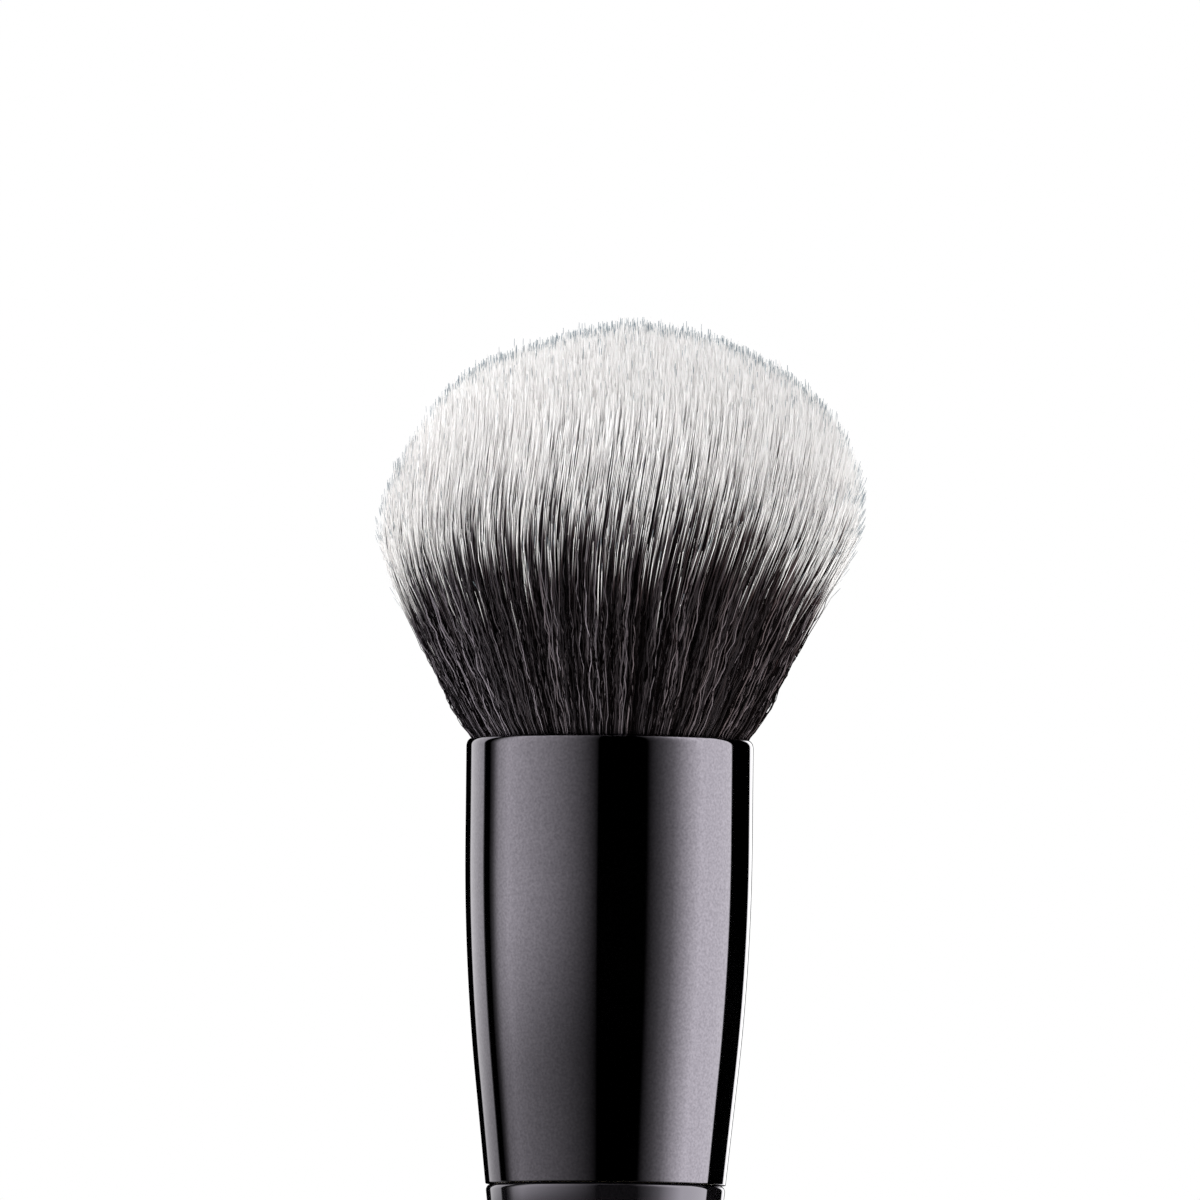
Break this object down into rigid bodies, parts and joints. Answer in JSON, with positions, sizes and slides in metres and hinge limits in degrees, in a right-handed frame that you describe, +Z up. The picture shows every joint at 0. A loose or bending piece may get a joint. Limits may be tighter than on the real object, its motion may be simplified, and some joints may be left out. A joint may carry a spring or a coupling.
{
  "type": "foundation brush",
  "caption": "Foundation brush with a dense domed tuft of two-tone filaments, set in a tapering gloss-black ferrule on a slender turned handle, for buffing in make-up.",
  "frame": {"origin": "centre of the flat on the handle's butt, which the upright brush stands on", "axes": "+Z up along the handle's axis, from the butt to the tips of the tuft; +X to the right and +Y away, as the reference view sees it"},
  "size_m": [0.0366, 0.036, 0.1704],
  "materials": {
    "lacquered_wood": "gloss",
    "set_adhesive": "satin",
    "black_ferrule_metal": "polished",
    "cast_resin": "satin",
    "waxed_thread": "matte",
    "two_tone_filament": "satin"
  },
  "bodies": {
    "root": {"handle": "lacquered_wood", "handle_adhesive": "set_adhesive", "ferrule": "black_ferrule_metal", "knot_resin": "cast_resin", "binding_thread": "waxed_thread", "bristle_tuft": "two_tone_filament"}
  },
  "joints": []
}
